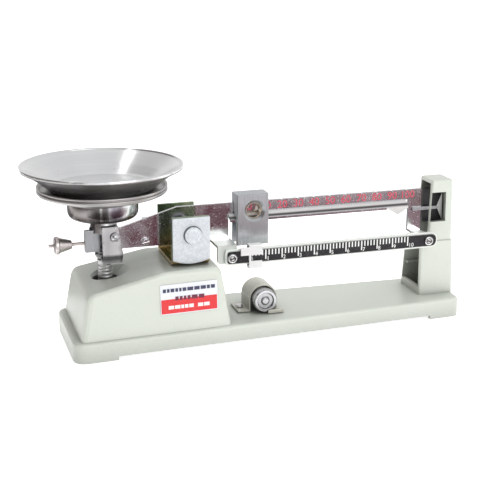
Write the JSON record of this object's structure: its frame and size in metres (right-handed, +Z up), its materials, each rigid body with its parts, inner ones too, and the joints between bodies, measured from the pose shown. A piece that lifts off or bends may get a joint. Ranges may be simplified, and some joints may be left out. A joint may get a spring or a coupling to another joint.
{
  "type": "two-beam laboratory balance",
  "caption": "Single-pan laboratory balance with a notched rear beam and sliding poise, a front scale beam with rider, and a pointer tower.",
  "frame": {"origin": "on the bench, at the middle of the balance's footprint", "axes": "+X along the beams from the pan towards the pointer tower, -Y is the operator's side, +Z up"},
  "size_m": [0.2584, 0.09, 0.1039],
  "materials": {
    "enamel": "smooth gloss enamel, pale greenish grey",
    "cover_plate": "plain zinc-plated sheet",
    "dark_screw": "plain steel, slightly dull",
    "rubber": "matt black moulded rubber",
    "yellow_zinc": "yellow-passivated zinc plate, patchy gold and olive",
    "blue_zinc": "blue-white zinc plate, satin",
    "knife_steel": "hardened steel, ground",
    "beam_chrome": "polished bright plate",
    "carrier_chrome": "polished nickel-bright plate",
    "brushed_steel": "vertical brushed grain",
    "pan_metal": "spun stainless steel with circular grain",
    "tray_metal": "turned and polished casting",
    "black_plate": "satin black with white marks",
    "label": null,
    "brass": "bright turned"
  },
  "bodies": {
    "base": {"base_casting": "enamel", "bottom_cover": "cover_plate", "cover_screw_1": "dark_screw", "cover_screw_2": "dark_screw", "cover_screw_3": "dark_screw", "cover_screw_4": "dark_screw", "cover_screw_5": "dark_screw", "cover_screw_6": "dark_screw", "rubber_foot_1": "rubber", "rubber_foot_2": "rubber", "rubber_foot_3": "rubber", "rubber_foot_4": "rubber", "fulcrum_bracket": "yellow_zinc", "bearing_cover_plate": "blue_zinc", "bearing_plug_front": "blue_zinc", "bearing_plug_rear": "blue_zinc", "bracket_screw_1": "dark_screw", "bracket_screw_2": "dark_screw", "link_anchor": "knife_steel", "link_anchor_pin": "knife_steel", "index_plate": "black_plate", "rating_label": "label", "weight_clip": "enamel", "clip_screw": "beam_chrome"},
    "beam": {"fulcrum_knife": "knife_steel", "pan_knife": "knife_steel", "beam_plate": "beam_chrome", "pointer": "brushed_steel", "trim_block": "beam_chrome", "trim_block_screw": "beam_chrome", "trim_block_nut": "dark_screw", "end_block": "brushed_steel", "end_block_screw": "dark_screw", "adjusting_rod": "beam_chrome", "front_beam": "enamel", "front_scale": "black_plate", "scale_screw_1": "beam_chrome", "scale_screw_2": "beam_chrome"},
    "poise": {"rear_poise": "brushed_steel", "reading_window_ring": "brass", "poise_spring_screw": "dark_screw"},
    "rider": {"front_rider": "carrier_chrome"},
    "nut": {"adjusting_nut": "carrier_chrome"},
    "carrier": {"stirrup": "carrier_chrome", "pan_bearing_front": "beam_chrome", "pan_bearing_rear": "beam_chrome", "column": "carrier_chrome", "tare_cup": "carrier_chrome", "pan_tray": "tray_metal"},
    "pan": {"weighing_pan": "pan_metal"},
    "check_link": {"check_link": "knife_steel"},
    "weight": {"spare_weight": "carrier_chrome"}
  },
  "joints": [
    {"name": "beam_swing", "type": "hinge", "parent": "base", "child": "beam", "pos_m": [-0.037, 0, 0.0646], "axis": [0, 1, 0], "range_deg": [-2, 2]},
    {"name": "carrier_pivot", "type": "hinge", "parent": "beam", "child": "carrier", "pos_m": [-0.079, 0, 0.0646], "axis": [0, 1, 0], "range_deg": [-2, 2]},
    {"name": "link_pivot", "type": "hinge", "parent": "base", "child": "check_link", "pos_m": [-0.0412, 0, 0.022], "axis": [0, 1, 0], "range_deg": [-2, 2]},
    {"name": "poise_slide", "type": "slide", "parent": "beam", "child": "poise", "axis": [1, 0, 0], "range_m": [0, 0.1]},
    {"name": "rider_slide", "type": "slide", "parent": "beam", "child": "rider", "axis": [1, 0, 0], "range_m": [0, 0.0985]},
    {"name": "nut_travel", "type": "slide", "parent": "beam", "child": "nut", "axis": [1, 0, 0], "range_m": [-0.002, 0.006]},
    {"name": "pan_lift", "type": "slide", "parent": "carrier", "child": "pan", "axis": [0, 0, 1], "range_m": [0, 0.025]},
    {"name": "weight_slide", "type": "slide", "parent": "base", "child": "weight", "axis": [0, 1, 0], "range_m": [0, 0.03]}
  ],
  "couplings": [
    {"joint": "carrier_pivot", "follows": "beam_swing", "ratio": -1},
    {"joint": "link_pivot", "follows": "beam_swing", "ratio": 1}
  ]
}
